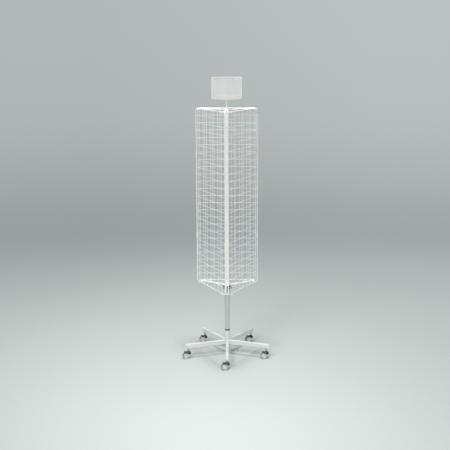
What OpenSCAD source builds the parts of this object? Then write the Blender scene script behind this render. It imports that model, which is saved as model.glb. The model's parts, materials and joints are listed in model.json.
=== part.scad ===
// Rotating wire display rack: a three-sided tower of wire panels that turns on a five-arm base
// with casters. The floor is z = 0, the pole stands on the origin, and the tower's front corner
// and the base's front arm point along -y. All sizes are in millimetres.

/* [Wire tower] */
// Outer width of each wire panel
panel_w = 400; // [300:10:500]
// Outer height of each wire panel
panel_h = 1200; // [900:100:1500]
// Diameter of the thick wire round a panel
frame_wire_d = 6; // [5.8:0.2:8]
// Diameter of the thin wires of the grid
mesh_wire_d = 2.8; // [1.6:0.1:2.9]
// Pitch of the grid, across and upwards
mesh_pitch = 50; // [40:5:100]
// Bend radius of the frame wire at a panel's corners, on its centreline
frame_bend_r = 8; // [7:1:25]
// Distance between neighbouring panels' frame wires at a corner, centre to centre
corner_gap = 21; // [16:1:26]

/* [Panel clips] */
// Height of a clip
clip_h = 35; // [20:1:42]
// Wall of a clip round its wires
clip_wall = 2; // [1.5:0.1:3]
// Grid cells between the panel's middle and a clip
clip_cells = 5; // [2:1:7]

/* [Spiders] */
// Outer diameter of a spider's hub
hub_d = 34; // [32:1:50]
// Height of a spider's hub
hub_h = 24; // [16:1:40]
// Diameter of the two rods of each arm
rod_d = 6; // [5:0.5:8]
// Distance between the two rods of an arm, centre to centre
rod_pair = 14; // [10:1:18]
// Width of the crossbar at the end of an arm
bar_w = 16; // [12:1:24]
// Thickness of the crossbar
bar_t = 3; // [2:0.5:5]
// Distance from a corner's frame wires to the middle of the crossbar
bar_inset = 30; // [26:1:38]

/* [Pole and bearings] */
// Outer diameter of the turning pole
pole_d = 25.4; // [20:0.2:25.6]
// Wall of the turning pole
pole_wall = 1.6; // [1.2:0.1:2.5]
// Outer diameter of the standing tube and of the base post
tube_d = 34; // [34:0.5:38]
// Wall of the standing tube and of the base post
tube_wall = 2; // [1.5:0.1:2.2]
// Length of the standing tube
tube_len = 286; // [260:2:400]
// Radial clearance of every running fit
fit_gap = 0.05; // [0.02:0.01:0.1]
// Diameter of the ball that carries the tower
ball_d = 12; // [8:1:16]
// Length of a bush in the standing tube
bush_len = 36; // [30:1:50]
// Thickness of the flanges on the plugs and on the upper bush
flange_t = 4; // [3:0.5:6]

/* [Collar and knobs] */
// Outer diameter of the collar under the tower
collar_d = 40; // [36:1:50]
// Height of the collar
collar_h = 19.7; // [18:0.1:30]
// Diameter of a knob
knob_d = 16; // [12:1:18]
// Length of a knob's head
knob_len = 11; // [8:1:16]

/* [Snap button] */
// Diameter of the button
button_d = 8; // [6:0.5:10]
// Height of the button above the floor
button_z = 240; // [225:1:250]
// Direction that the button faces
button_turn = -70; // [-100:5:-50]

/* [Base] */
// Distance from the pole to the end of an arm
arm_reach = 300; // [250:1:400]
// Width of an arm
arm_w = 20; // [20:1:30]
// Height of an arm
arm_h = 30; // [26:1:40]
// Wall of an arm
arm_wall = 1.6; // [1.2:0.1:2.5]
// Length of the base post above the arms' underside
post_h = 101; // [60:1:130]
// Height of the dark ring between post and tube
ring_h = 9; // [5:1:15]

/* [Casters] */
// Height of the arms' underside above the floor
caster_h = 70; // [68:1:90]
// Diameter of a wheel
wheel_d = 40; // [38:1:44]
// Width of one wheel
wheel_w = 13; // [10:0.5:16]
// Distance from the swivel axis to the axle
caster_trail = 21; // [19:1:26]
// Distance from the end of an arm to the swivel axis
caster_inset = 20; // [20:1:40]
// Width of the web between a caster's two wheels
web_w = 12; // [12:0.5:16]
// Outer diameter of the bell at the top of a caster's hood
bell_d = 35; // [32:1:38]
// Diameter of the pin that a caster swivels on
swivel_d = 8; // [6:0.5:9]
// Diameter of the axle
axle_d = 6; // [4:0.5:8]
// Direction that the casters trail in
caster_heading = 200; // [0:1:359]

/* [Sign] */
// Width of the sign
sign_w = 196; // [120:1:300]
// Height of the sign with its holder
sign_h = 148; // [100:1:220]
// Thickness of each of the two clear plates that hold the card
plate_t = 1.9; // [1.5:0.1:3]
// Diameter of the sign's stem
stem_d = 8; // [6:0.5:12]
// Height of the sign's lower edge above the tower
stem_rise = 58; // [50:1:150]

/* [Hidden] */
$fn = 48;
WIRE_FN = 24;
arm_count = 5;
arm_step = 360 / arm_count;
arm_first = -90;
side_step = 120;
side_names = ["rear", "left", "right"];
// Small differences between the casters' directions, one for each
caster_stray = [3, -4, 2, -2, 4];
WHITE = [0.93, 0.93, 0.92];
STEEL = [0.74, 0.75, 0.76];
BLACK = [0.08, 0.08, 0.09];
GREY = [0.72, 0.73, 0.73];
CLEAR = [0.85, 0.90, 0.92, 0.5];

eps = 0.01;
weld = 0.4;
seat_gap = 0.1;
part_gap = 0.3;

// Panel: distances between the frame wire's centrelines, and the panel's distance from the pole
wire_w = panel_w - frame_wire_d;
wire_h = panel_h - frame_wire_d;
panel_out = corner_gap / sqrt(3) + wire_w / (2 * sqrt(3));
corner_out = panel_out / 2 + wire_w * sqrt(3) / 4;
mesh_shift = mesh_wire_d / 2 + eps;
mesh_half_w = floor((wire_w / 2 - mesh_pitch / 2) / mesh_pitch);
mesh_half_h = floor((wire_h / 2 - mesh_pitch / 2) / mesh_pitch);
clip_rise = (clip_cells + 0.5) * mesh_pitch;

// Base, upwards from the floor
arm_mid_z = caster_h + arm_h / 2;
post_top = caster_h + post_h;
ring_top = post_top + ring_h;
tube_top = ring_top + tube_len;
tube_bore = tube_d - 2 * tube_wall;
spigot_d = tube_bore - 2 * fit_gap;
spigot_wall = 2;
spigot_bore = spigot_d - 2 * spigot_wall;
plug_len = 18;
plug_wall = 2.5;
post_flange_t = 2;
spigot_low = caster_h + plug_len;
spigot_over_button = 50;
spigot_top = button_z + spigot_over_button;
arm_round = 3;
cap_t = 2;
socket_d = 14;
socket_head_room = 4;
socket_h = arm_h - arm_wall - socket_head_room;
caster_out = arm_reach - caster_inset;
cap_to_socket = 2;
cap_plug_wall = 1.5;
cap_plug_len = caster_inset - socket_d / 2 - cap_t - cap_to_socket;

// Thrust bearing: the ball sits half in the seat and half in the pole's foot
seat_top = spigot_top + flange_t;
ball_gap = 4;
ball_z = seat_top + ball_gap / 2;
foot_low = seat_top + ball_gap;
pole_low = foot_low + flange_t;
pole_bore = pole_d - 2 * pole_wall;
bush_bore = pole_d + 2 * fit_gap;
foot_to_bush = 10;
lower_bush_low = pole_low + foot_to_bush;

// Top of the standing tube, the collar and the tower
flange_top = tube_top + flange_t;
bush_flange_d = tube_d + 2;
key_w = 4;
key_to_end = 10;
key_h = bush_len - key_to_end;
collar_low = flange_top + part_gap;
collar_top = collar_low + collar_h;
knob_below_top = 1.5;
knob_z = collar_top - knob_d / 2 - knob_below_top;
knob_screw_d = 6;
knob_turns = [-150, -30, 90];
hub_below_wire = 5;
tower_low_z = collar_top + hub_below_wire;
tower_top_z = tower_low_z + wire_h;
pole_top = tower_top_z + hub_below_wire;
arm_turns = [-90, 30, 150];
bar_top = -frame_wire_d / 2 - seat_gap;
bar_out = corner_out - bar_inset;
lip_len = 14;
lip_t = 2.5;
lip_rise = frame_wire_d / 2;
// Where a panel's bottom wire crosses the crossbar, and the lip outside it
bar_cross = corner_gap / 2 + bar_inset * tan(30);
lip_out = frame_wire_d / 2 + part_gap + lip_t / 2;
bar_len = 2 * (bar_cross + lip_out * cos(30) + lip_len / 2 * sin(30) + 1);
set_screw_d = 6;

// Sign
cap_flange_t = 3;
cap_len = 25;
stem_low = pole_top - cap_len + 2;
sign_low = pole_top + stem_rise;
holder_sag = 5;
holder_h = 28;
holder_end_h = 12;
card_t = 1;
pocket_t = 2 * plate_t + card_t + 2 * seat_gap;
holder_t = pocket_t + 4;
holder_floor = 9;
boss_d = stem_d + 5;
boss_h = 8;
pocket_low = sign_low + holder_floor;
plate_h = sign_h - holder_floor;
stem_collar_h = 3;

// Casters
wheel_r = wheel_d / 2;
side_gap = 0.6;
wheel_in = web_w / 2 + side_gap;
wheel_out = wheel_in + wheel_w;
hood_gap = 1.4;
hood_t = 2.6;
hood_r = wheel_r + hood_gap + hood_t;
hood_w = 2 * wheel_out - 1;
hood_turns = [62, 138];
housing_top = wheel_d + 10;
housing_d = web_w + 1;
swivel_low = wheel_r + 11;
bell_low = wheel_r + 10;
bell_h = housing_top - bell_low;
bell_wall = 2.2;
bell_edge_h = 7;
bell_slope_w = 8;
bell_break = 1.3;
bore_floor = 3;
column_len = 9;
rib_h = 7;
web_r = wheel_r - 2;
web_below_axle = 4;
hood_reach = 30;
rib_w = 2.4;
shank_d = 11;
nut_h = 8;
nut_across = 17;
cover_t = 3;

// Helpers
function arm_turn(k) = arm_first + (k - 1) * arm_step;

module tube(outer, bore, low, high) {
  translate([0, 0, low])
    difference() {
      cylinder(d = outer, h = high - low);
      translate([0, 0, -1]) cylinder(d = bore, h = high - low + 2);
    }
}

module rounded(w, h, r) {
  square([w - 2 * r, h], center = true);
  square([w, h - 2 * r], center = true);
  for (x = [-1, 1]) {
    for (y = [-1, 1]) translate([x * (w / 2 - r), y * (h / 2 - r)]) circle(r = r);
  }
}

module rod(d, length) {
  rotate([0, 90, 0]) cylinder(d = d, h = length, $fn = WIRE_FN);
}

// Base
module base_post() {
  color(WHITE) tube(tube_d, tube_bore, caster_h, post_top);
}

module post_plug() {
  color(BLACK) difference() {
    union() {
      translate([0, 0, caster_h - post_flange_t]) cylinder(d = tube_d, h = post_flange_t);
      translate([0, 0, caster_h]) cylinder(d = spigot_d, h = plug_len);
    }
    translate([0, 0, caster_h + plug_wall]) cylinder(d = spigot_d - 2 * plug_wall, h = plug_len);
  }
}

module arm_section(w, h) {
  difference() {
    rounded(w, h, arm_round);
    rounded(w - 2 * arm_wall, h - 2 * arm_wall, arm_round - arm_wall / 2);
  }
}

// An arm is notched round the post and drilled for its socket, and mitred where it is so wide that
// it would meet its neighbours
module base_arm(k) {
  slope = tan(arm_step / 2);
  color(WHITE) rotate(arm_turn(k)) difference() {
    intersection() {
      translate([0, 0, arm_mid_z])
        rotate([90, 0, 90])
          linear_extrude(arm_reach - cap_t) arm_section(arm_w, arm_h);
      translate([0, 0, caster_h - 1])
        linear_extrude(arm_h + 2)
          polygon([[0, 0], [arm_reach, arm_reach * slope], [arm_reach, -arm_reach * slope]]);
    }
    translate([0, 0, caster_h - 1]) cylinder(d = tube_d, h = arm_h + 2);
    translate([caster_out, 0, caster_h - 1]) cylinder(d = socket_d, h = arm_wall + 2);
  }
}

module arm_end_cap() {
  plug_w = arm_w - 2 * arm_wall - 2 * seat_gap;
  plug_h = arm_h - 2 * arm_wall - 2 * seat_gap;
  plug_round = arm_round - arm_wall / 2;
  translate([arm_reach - cap_t, 0, arm_mid_z]) rotate([90, 0, 90]) {
    linear_extrude(cap_t) rounded(arm_w, arm_h, arm_round);
    translate([0, 0, -cap_plug_len]) linear_extrude(cap_plug_len) difference() {
      rounded(plug_w, plug_h, plug_round);
      rounded(plug_w - 2 * cap_plug_wall, plug_h - 2 * cap_plug_wall, plug_round - 1);
    }
  }
}

module arm_end_caps() {
  color(WHITE) for (k = [1:arm_count]) rotate(arm_turn(k)) arm_end_cap();
}

module caster_sockets() {
  color(STEEL) for (k = [1:arm_count]) rotate(arm_turn(k)) translate([caster_out, 0, 0])
    tube(socket_d, swivel_d + 2 * fit_gap, caster_h, caster_h + socket_h);
}

module caster_stem() {
  translate([0, 0, caster_h]) cylinder(d = swivel_d, h = socket_h - 2);
  translate([0, 0, caster_h - nut_h]) cylinder(d = nut_across / cos(30), h = nut_h, $fn = 6);
  translate([0, 0, housing_top + part_gap])
    cylinder(d = shank_d, h = caster_h - nut_h - housing_top - part_gap);
  translate([0, 0, swivel_low + 2]) cylinder(d = swivel_d, h = caster_h - nut_h - swivel_low - 2);
}

module caster_stems() {
  color(STEEL) for (k = [1:arm_count]) rotate(arm_turn(k)) translate([caster_out, 0, 0])
    caster_stem();
}

module joint_ring() {
  color(BLACK) tube(tube_d + 1, tube_bore, post_top, ring_top);
}

module spigot_tube() {
  color(STEEL) difference() {
    tube(spigot_d, spigot_bore, spigot_low, spigot_top);
    button_hole();
  }
}

module standing_tube() {
  color(STEEL) difference() {
    tube(tube_d, tube_bore, ring_top, tube_top);
    button_hole();
    rotate(arm_first)
      translate([0, -key_w / 2 - seat_gap, tube_top - key_h - seat_gap])
        cube([tube_d, key_w + 2 * seat_gap, key_h + 1]);
  }
}

// Snap button and its spring
module at_button() {
  rotate(button_turn) translate([0, 0, button_z]) children();
}

module button_hole() {
  at_button() rotate([0, 90, 0]) cylinder(d = button_d + 2 * fit_gap, h = tube_d);
}

button_flange_d = button_d + 2.5;
button_flange_t = 1.4;
button_seat = sqrt(pow(spigot_bore / 2, 2) - pow(button_flange_d / 2, 2)) - seat_gap;
button_tip = tube_d / 2 + 1.5;

module lock_button() {
  dome_r = button_d / 2;
  color(STEEL) at_button() {
    translate([button_seat - button_flange_t, 0, 0])
      rotate([0, 90, 0]) cylinder(d = button_flange_d, h = button_flange_t);
    translate([button_seat - button_flange_t, 0, 0]) rotate([0, 90, 0])
      rotate_extrude() intersection() {
        square([dome_r, button_tip - button_seat + button_flange_t]);
        union() {
          square([dome_r, button_tip - button_seat + button_flange_t - 1.5]);
          translate([0, button_tip - button_seat + button_flange_t - 2 * dome_r])
            circle(r = 2 * dome_r);
        }
      }
  }
}

module button_spring() {
  leaf_w = 8;
  leaf_t = 0.6;
  bend_r = 3;
  bend_z = -38;
  push = button_seat - button_flange_t - seat_gap;
  back = sqrt(pow(spigot_bore / 2, 2) - pow(leaf_w / 2, 2)) - seat_gap;
  color(STEEL) at_button() rotate([90, 0, 0]) linear_extrude(leaf_w, center = true) {
    translate([0, bend_z]) difference() {
      circle(r = bend_r);
      circle(r = bend_r - leaf_t);
      translate([-bend_r - 1, 0]) square(2 * bend_r + 2);
    }
    polygon([[bend_r - leaf_t, bend_z], [bend_r, bend_z], [push, -10], [push, 6],
      [push - leaf_t, 6], [push - leaf_t, -10]]);
    polygon([[-bend_r, bend_z], [leaf_t - bend_r, bend_z], [leaf_t - back, 6], [-back, 6]]);
  }
}

// Thrust bearing and bushes
module thrust_seat() {
  color(BLACK) difference() {
    union() {
      translate([0, 0, spigot_top]) cylinder(d = spigot_d, h = flange_t);
      translate([0, 0, spigot_top - plug_len])
        cylinder(d = spigot_bore - 2 * fit_gap, h = plug_len);
    }
    translate([0, 0, ball_z]) sphere(d = ball_d + 2 * fit_gap);
  }
}

module thrust_ball() {
  color(STEEL) translate([0, 0, ball_z]) sphere(d = ball_d);
}

module lower_bush() {
  color(BLACK) tube(spigot_d, bush_bore, lower_bush_low, lower_bush_low + bush_len / 2);
}

module upper_bush() {
  color(BLACK) {
    tube(spigot_d, bush_bore, tube_top - bush_len, tube_top + eps);
    tube(bush_flange_d, bush_bore, tube_top, flange_top);
    intersection() {
      rotate(arm_first) translate([0, -key_w / 2, tube_top - key_h])
        cube([tube_d, key_w, key_h]);
      tube(tube_d, spigot_d - 1, tube_top - key_h, tube_top + eps);
    }
  }
}

// Turning pole
module pole() {
  color(WHITE) tube(pole_d, pole_bore, pole_low, pole_top);
}

module pole_foot() {
  color(BLACK) difference() {
    union() {
      translate([0, 0, foot_low]) cylinder(d = pole_d, h = flange_t);
      translate([0, 0, pole_low]) cylinder(d = pole_bore - 2 * fit_gap, h = plug_len);
    }
    translate([0, 0, ball_z]) sphere(d = ball_d + 2 * fit_gap);
  }
}

module pole_cap() {
  color(WHITE) {
    tube(pole_d + 2, stem_d + 2 * fit_gap, pole_top, pole_top + cap_flange_t);
    tube(pole_bore - 2 * fit_gap, stem_d + 2 * fit_gap, pole_top - cap_len, pole_top + eps);
  }
}

module collar() {
  color(BLACK) difference() {
    tube(collar_d, bush_bore, collar_low, collar_top);
    for (a = knob_turns) rotate(a) translate([0, 0, knob_z])
      rod(knob_screw_d + 2 * fit_gap, collar_d);
  }
}

module collar_knob(k) {
  flutes = 6;
  flute_r = 2.5;
  head_low = collar_d / 2 + part_gap;
  tip = bush_bore / 2 + seat_gap;
  color(BLACK) rotate(knob_turns[k - 1]) translate([0, 0, knob_z]) {
    translate([tip, 0, 0]) rod(knob_screw_d, head_low - tip + eps);
    translate([head_low, 0, 0]) difference() {
      rotate([0, 90, 0]) cylinder(d = knob_d, h = knob_len);
      for (i = [1:flutes]) rotate([i * 360 / flutes, 0, 0])
        translate([2, 0, knob_d / 2 + flute_r / 2]) rod(2 * flute_r, knob_len);
    }
  }
}

// Spiders: height zero is the level of the panels' end wires
module spider(hub_low) {
  difference() {
    union() {
      translate([0, 0, hub_low]) cylinder(d = hub_d, h = hub_h);
      for (a = arm_turns) rotate(a) spider_arm();
    }
    translate([0, 0, hub_low - 1]) cylinder(d = bush_bore, h = hub_h + 2);
    translate([0, 0, hub_low + hub_h / 2]) rotate(90) rod(set_screw_d + 2 * fit_gap, hub_d);
  }
}

module spider_arm() {
  rod_from = pole_d / 2 + 2;
  for (side = [-1, 1])
    translate([rod_from, side * rod_pair / 2, bar_top - weld + rod_d / 2])
      rod(rod_d, bar_out + bar_w / 2 - rod_from);
  translate([bar_out - bar_w / 2, -bar_len / 2, bar_top - bar_t]) cube([bar_w, bar_len, bar_t]);
  for (side = [-1, 1])
    translate([bar_out, side * bar_cross, bar_top - bar_t])
      rotate(side * -30)
        translate([-lip_len / 2, side * lip_out - lip_t / 2, 0])
          cube([lip_len, lip_t, bar_t + seat_gap + frame_wire_d / 2 + lip_rise]);
}

module lower_spider() {
  color(WHITE) translate([0, 0, tower_low_z]) spider(-hub_below_wire);
}

module upper_spider() {
  color(WHITE) translate([0, 0, tower_top_z]) spider(hub_below_wire - hub_h);
}

module hub_screws() {
  screw_from = bush_bore / 2 + seat_gap;
  heights = [tower_low_z - hub_below_wire + hub_h / 2, tower_top_z + hub_below_wire - hub_h / 2];
  color(STEEL) for (z = heights) translate([0, 0, z]) rotate(90) difference() {
    translate([screw_from, 0, 0]) rod(set_screw_d, hub_d / 2 - screw_from);
    translate([hub_d / 2 - 2.5, 0, 0]) rotate([0, 90, 0]) cylinder(d = 3, h = 4, $fn = 6);
  }
}

// Panels: a frame wire bent to a ring, upright wires behind it and level wires in front
module panel_frame() {
  side_h = wire_h - 2 * frame_bend_r;
  side_w = wire_w - 2 * frame_bend_r;
  for (x = [-wire_w / 2, wire_w / 2])
    translate([x, 0, frame_bend_r]) cylinder(d = frame_wire_d, h = side_h, $fn = WIRE_FN);
  for (z = [0, wire_h]) translate([-side_w / 2, 0, z]) rod(frame_wire_d, side_w);
  for (q = [0:3]) {
    x = (q == 0 || q == 3) ? side_w / 2 : -side_w / 2;
    z = (q < 2) ? frame_bend_r + side_h : frame_bend_r;
    translate([x, 0, z]) rotate([90, 0, 0]) rotate(90 * q)
      rotate_extrude(angle = 90) translate([frame_bend_r, 0])
        circle(d = frame_wire_d, $fn = WIRE_FN);
  }
}

module panel_mesh() {
  for (i = [-mesh_half_w:mesh_half_w])
    translate([i * mesh_pitch, -mesh_shift, 0]) cylinder(d = mesh_wire_d, h = wire_h, $fn = WIRE_FN);
  for (i = [-mesh_half_h:mesh_half_h])
    translate([-wire_w / 2, mesh_shift, wire_h / 2 + i * mesh_pitch]) rod(mesh_wire_d, wire_w);
}

module panel(side) {
  color(WHITE) rotate(side * side_step) translate([0, panel_out, tower_low_z]) {
    panel_frame();
    panel_mesh();
  }
}

// Clip: two eyes that snap over neighbouring frame wires, joined by a web
module panel_clip() {
  eye_r = frame_wire_d / 2 + seat_gap;
  mouth = frame_wire_d * 0.8;
  linear_extrude(clip_h, center = true) difference() {
    union() {
      for (y = [-1, 1]) translate([0, y * corner_gap / 2]) circle(r = eye_r + clip_wall);
      translate([-clip_wall, -corner_gap / 2]) square([2 * clip_wall, corner_gap]);
    }
    for (y = [-1, 1]) translate([0, y * corner_gap / 2]) {
      circle(r = eye_r);
      rotate(y * 30) translate([-2 * eye_r, -mouth / 2]) square([2 * eye_r, mouth]);
    }
  }
}

module panel_clips() {
  mid_z = (tower_low_z + tower_top_z) / 2;
  color(WHITE) for (a = arm_turns, z = [mid_z - clip_rise, mid_z + clip_rise])
    rotate(a) translate([corner_out, 0, z]) panel_clip();
}

// Sign
module sign_stem() {
  color(WHITE) {
    translate([0, 0, stem_low])
      cylinder(d = stem_d, h = sign_low + holder_floor / 2 - stem_low, $fn = WIRE_FN);
    translate([0, 0, pole_top + cap_flange_t + part_gap]) cylinder(d = stem_d + 4, h = stem_collar_h);
  }
}

module sign_holder() {
  sag_r = (pow(sign_w / 2, 2) + holder_sag * holder_sag) / (2 * holder_sag);
  side = sign_w / 2;
  color(WHITE) difference() {
    union() {
      rotate([90, 0, 0]) linear_extrude(holder_t, center = true) intersection() {
        translate([0, sign_low + sag_r]) circle(r = sag_r, $fn = 360);
        polygon([[-side, sign_low - 1], [side, sign_low - 1],
          [side, sign_low + holder_sag + holder_end_h], [side / 2, sign_low + holder_h],
          [-side / 2, sign_low + holder_h], [-side, sign_low + holder_sag + holder_end_h]]);
      }
      translate([0, 0, sign_low - boss_h]) cylinder(d = boss_d, h = boss_h + holder_floor);
    }
    translate([-side - 1, -pocket_t / 2 - seat_gap, pocket_low])
      cube([sign_w + 2, pocket_t + 2 * seat_gap, holder_h]);
    translate([0, 0, sign_low - boss_h - 1])
      cylinder(d = stem_d + 2 * fit_gap, h = boss_h + 1 + holder_floor / 2 + seat_gap);
  }
}

module sign_plate() {
  color(CLEAR) cube([sign_w, plate_t, plate_h]);
}

module sign_front_plate() {
  translate([-sign_w / 2, -pocket_t / 2, pocket_low]) sign_plate();
}

module sign_back_plate() {
  translate([-sign_w / 2, pocket_t / 2 - plate_t, pocket_low]) sign_plate();
}

module sign_card() {
  side_play = 2;
  w = sign_w - 2 * side_play;
  color("white") translate([-w / 2, -card_t / 2, pocket_low])
    cube([w, card_t, plate_h - side_play]);
}

// Casters: +x is the direction that the wheels trail in, from the swivel axis
module at_caster(k) {
  a = arm_turn(k);
  rotate(a) translate([caster_out, 0, 0]) rotate(caster_heading + caster_stray[k - 1] - a)
    children();
}

// The bell's profile, inset by a wall: upright at its edge, then a cone up to the flat top
module bell_profile(inset) {
  r = bell_d / 2 - inset;
  top_r = bell_d / 2 - bell_slope_w - inset / 2;
  edge_h = bell_edge_h - inset / 4;
  top_h = bell_h - inset;
  polygon([[0, 0], [r, 0], [r, edge_h], [r - bell_break, edge_h + 2 * bell_break],
    [top_r, top_h - bell_break], [top_r - bell_break, top_h], [0, top_h]]);
}

module hood_sector() {
  far = 2 * hood_r;
  polygon([[0, 0], for (a = hood_turns) [far * cos(a), far * sin(a)]]);
}

// Bell and mudguard are hollow below and keep clear of the wheels. The mudguard's rear edge is
// rounded about the swivel axis.
module hood_shell() {
  difference() {
    union() {
      translate([0, 0, bell_low]) rotate_extrude() bell_profile(0);
      translate([caster_trail, 0, wheel_r]) rotate([90, 0, 0])
        linear_extrude(hood_w, center = true) intersection() {
          circle(r = hood_r, $fn = 96);
          hood_sector();
        }
    }
    tube(4 * hood_r, 2 * hood_reach, bell_low, housing_top);
    translate([0, 0, bell_low - eps]) rotate_extrude() bell_profile(bell_wall);
    translate([caster_trail, 0, wheel_r]) rotate([90, 0, 0])
      cylinder(r = wheel_r + hood_gap, h = 2 * hood_w, center = true, $fn = 96);
  }
}

// Between the wheels: the axle's boss, the web up to the mudguard and the tube round the pin
module hood_web() {
  translate([caster_trail, 0, wheel_r]) rotate([90, 0, 0]) linear_extrude(web_w, center = true) {
    circle(r = axle_d / 2 + 5);
    intersection() {
      circle(r = web_r, $fn = 96);
      translate([-caster_trail, -web_below_axle]) square(2 * web_r + caster_trail);
    }
    intersection() {
      circle(r = hood_r - hood_t / 2, $fn = 96);
      hood_sector();
      translate([-caster_trail, 0]) square(hood_reach - hood_t);
    }
  }
  tube_low = swivel_low - bore_floor;
  roof_low = wheel_r + hood_r - hood_t;
  translate([0, 0, tube_low])
    cylinder(d = housing_d, h = housing_top - bell_wall / 2 - tube_low);
  translate([0, -web_w / 2, tube_low]) cube([column_len, web_w, roof_low - tube_low]);
  translate([-bell_d / 2 + bell_wall / 2, -rib_w / 2, swivel_low]) cube([bell_d / 2, rib_w, rib_h]);
}

module caster_hood(k) {
  color(BLACK) at_caster(k) difference() {
    union() {
      hood_shell();
      hood_web();
    }
    translate([0, 0, swivel_low]) cylinder(d = swivel_d + 2 * fit_gap, h = housing_top);
    translate([caster_trail, 0, wheel_r]) rotate([90, 0, 0])
      cylinder(d = axle_d, h = 3 * web_w, center = true);
  }
}

module caster_axle(k) {
  half = wheel_out - cover_t - part_gap;
  color(STEEL) at_caster(k) translate([caster_trail, 0, wheel_r]) rotate([90, 0, 0])
    cylinder(d = axle_d, h = 2 * half, center = true);
}

module wheel() {
  hub_r = axle_d / 2 + 4;
  rim_r = wheel_r - 6;
  bore_r = axle_d / 2 + fit_gap;
  dish = 1.6;
  cup = wheel_w / 2;
  round = 1.5;
  rotate_extrude($fn = 96) polygon([
    [bore_r, 0], [hub_r, 0], [hub_r, cup], [rim_r, cup], [rim_r, 0], [wheel_r - round, 0],
    [wheel_r, round], [wheel_r, wheel_w - 2 * round], [wheel_r - 2 * round, wheel_w],
    [rim_r, wheel_w], [rim_r - 1, wheel_w - dish], [hub_r + 1, wheel_w - dish],
    [hub_r, wheel_w], [0, wheel_w], [0, wheel_w - cover_t], [bore_r, wheel_w - cover_t]
  ]);
}

// The left wheel is on the left side as seen looking along the trail, away from the swivel
module caster_wheel(k, side) {
  color(GREY) at_caster(k) translate([caster_trail, side * wheel_in, wheel_r])
    rotate([-90 * side, 0, 0]) wheel();
}

base_post();
post_plug();
for (k = [1:arm_count]) base_arm(k);
arm_end_caps();
caster_sockets();
caster_stems();
joint_ring();
spigot_tube();
standing_tube();
lock_button();
button_spring();
thrust_seat();
thrust_ball();
lower_bush();
upper_bush();
pole();
pole_foot();
pole_cap();
collar();
for (k = [1:3]) collar_knob(k);
lower_spider();
upper_spider();
hub_screws();
for (s = [0:2]) panel(s);
panel_clips();
sign_stem();
sign_holder();
sign_front_plate();
sign_back_plate();
sign_card();
for (k = [1:arm_count]) caster_hood(k);
for (k = [1:arm_count]) caster_axle(k);
for (k = [1:arm_count])
  caster_wheel(k, 1);
for (k = [1:arm_count])
  caster_wheel(k, -1);
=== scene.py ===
# %% [markdown]
# # A rotating wire display rack
# The rack stands in many small shops: a triangular tower of white wire panels turns on a pole,
# the pole stands on a star of five tubes, and each tube rolls on a caster with two wheels. A small
# sign turns on top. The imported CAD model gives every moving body. This lesson keeps the CAD pieces
# whose shape is right, gives them real finishes, and rebuilds the ones that need rounder wire,
# softer moulded edges or weld seams, and the one that has to bend.

# %% Load the fixed frame
import json
import math

import bmesh
import bpy
from mathutils import Matrix, Vector


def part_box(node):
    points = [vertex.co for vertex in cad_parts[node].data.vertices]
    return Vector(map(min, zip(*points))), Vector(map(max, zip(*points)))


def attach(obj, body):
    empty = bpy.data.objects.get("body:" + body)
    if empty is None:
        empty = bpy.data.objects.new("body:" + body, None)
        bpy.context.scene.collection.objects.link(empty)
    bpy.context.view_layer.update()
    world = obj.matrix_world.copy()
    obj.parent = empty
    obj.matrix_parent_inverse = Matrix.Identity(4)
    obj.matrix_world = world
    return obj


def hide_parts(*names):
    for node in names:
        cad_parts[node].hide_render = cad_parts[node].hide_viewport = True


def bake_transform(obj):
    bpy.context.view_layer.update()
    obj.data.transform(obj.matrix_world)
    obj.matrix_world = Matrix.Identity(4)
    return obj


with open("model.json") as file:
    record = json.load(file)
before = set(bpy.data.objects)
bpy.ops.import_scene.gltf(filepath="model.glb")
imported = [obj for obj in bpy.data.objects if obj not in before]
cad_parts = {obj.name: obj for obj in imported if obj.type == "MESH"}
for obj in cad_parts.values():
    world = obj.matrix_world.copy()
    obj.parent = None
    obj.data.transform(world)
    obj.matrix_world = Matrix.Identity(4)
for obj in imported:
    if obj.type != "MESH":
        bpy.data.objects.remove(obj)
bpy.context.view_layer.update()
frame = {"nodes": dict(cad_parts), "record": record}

# %% [markdown]
# ## The sizes that the pieces share
# A piece that replaces a CAD solid has to lie where that solid lies, so its sizes are the CAD
# ones. They are written once, in metres, and every later cell works from them. OUT is a distance
# from the pole's axis, R a radius, W a width and H a height.

# %% Sizes
MM = 0.001
PANEL_W = 394 * MM
PANEL_H = 1194 * MM
PANEL_OUT = 125.862 * MM
CORNER_OUT = 233.538 * MM
CORNER_GAP = 21 * MM
BEND_R = 8 * MM
FRAME_R = 3 * MM
MESH_R = 1.4 * MM
MESH_SHIFT = 1.41 * MM
PITCH = 50 * MM
tower_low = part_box("panel_rear")[0][2] + FRAME_R
tower_high = tower_low + PANEL_H
print("panel wires run from", round(tower_low, 4), "to", round(tower_high, 4))

# %% [markdown]
# ## The camera
# The photograph looks down on the rack by eleven degrees, from about two metres above the floor
# and five metres away, with a short telephoto lens. The place and the angles came from a
# least-squares fit of the tower's corners, the arm ends and the wheels to the photograph. The fit
# gives the focal length in pixels of the 450 pixel frame, and the sensor's width turns it to
# millimetres. A camera matrix is built straight from the three axes of the view: right, up and
# backwards.

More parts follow.
